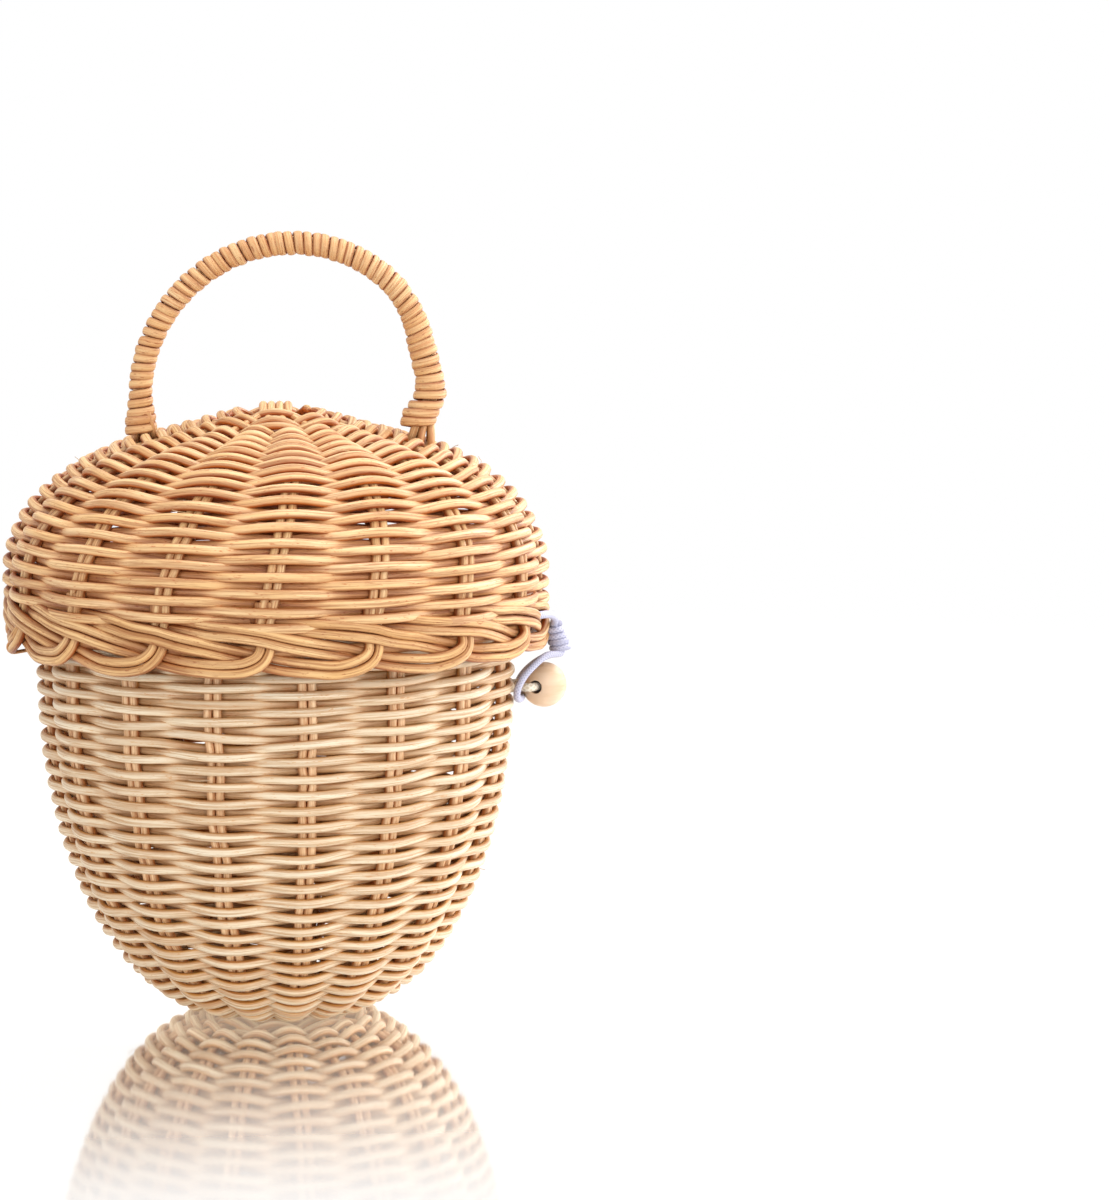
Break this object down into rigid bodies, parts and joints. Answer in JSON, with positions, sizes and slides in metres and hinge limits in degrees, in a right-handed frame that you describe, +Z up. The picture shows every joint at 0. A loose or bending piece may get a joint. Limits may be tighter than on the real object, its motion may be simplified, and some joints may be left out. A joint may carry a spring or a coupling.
{
  "type": "lidded wicker storage basket",
  "caption": "Acorn-shaped lidded storage basket of round rattan: pale tapering cup, honey domed lid on cane hinge ties, bound arch handle, elastic loop over a wooden bead.",
  "frame": {"origin": "centre of the cup's flat foot, on the surface it stands on", "axes": "+Z up; +X towards the bead of the closure; the lid's hinge is at the -X side, its axis along Y"},
  "size_m": [0.209, 0.2014, 0.2887],
  "materials": {
    "cream_rattan": "peeled pale rattan, satin",
    "honey_rattan": "honey-coloured rattan, satin",
    "binding_cane": "split cane binding, satin",
    "hinge_cane": "thin cane tie, satin",
    "bead_wood": "turned pale wood, fine grain",
    "cream_cord": "braided cotton cord",
    "white_elastic": "covered elastic cord"
  },
  "bodies": {
    "cup": {"cup_weave": "cream_rattan", "cup_stake_1": "cream_rattan", "cup_stake_2": "cream_rattan", "cup_stake_3": "cream_rattan", "cup_stake_4": "cream_rattan", "cup_stake_5": "cream_rattan", "cup_stake_6": "cream_rattan", "cup_stake_7": "cream_rattan", "cup_stake_8": "cream_rattan", "cup_border": "cream_rattan", "hinge_tie_front": "hinge_cane", "hinge_tie_back": "hinge_cane", "bead": "bead_wood", "bead_cord": "cream_cord"},
    "lid": {"lid_weave": "honey_rattan", "lid_stake_1": "honey_rattan", "lid_stake_2": "honey_rattan", "lid_stake_3": "honey_rattan", "lid_stake_4": "honey_rattan", "lid_stake_5": "honey_rattan", "lid_stake_6": "honey_rattan", "lid_stake_7": "honey_rattan", "lid_stake_8": "honey_rattan", "lid_border": "honey_rattan", "handle_rod_1": "honey_rattan", "handle_rod_2": "honey_rattan", "handle_rod_3": "honey_rattan", "handle_wrap": "binding_cane", "lid_hinge_rod": "honey_rattan", "closure_stem": "white_elastic", "closure_knot": "white_elastic", "closure_loop": "white_elastic"}
  },
  "joints": [
    {"name": "lid_hinge", "type": "hinge", "parent": "cup", "child": "lid", "pos_m": [-0.0954, 0, 0.139], "axis": [0, -1, 0], "range_deg": [0, 105], "deforming": ["closure_loop"]}
  ]
}
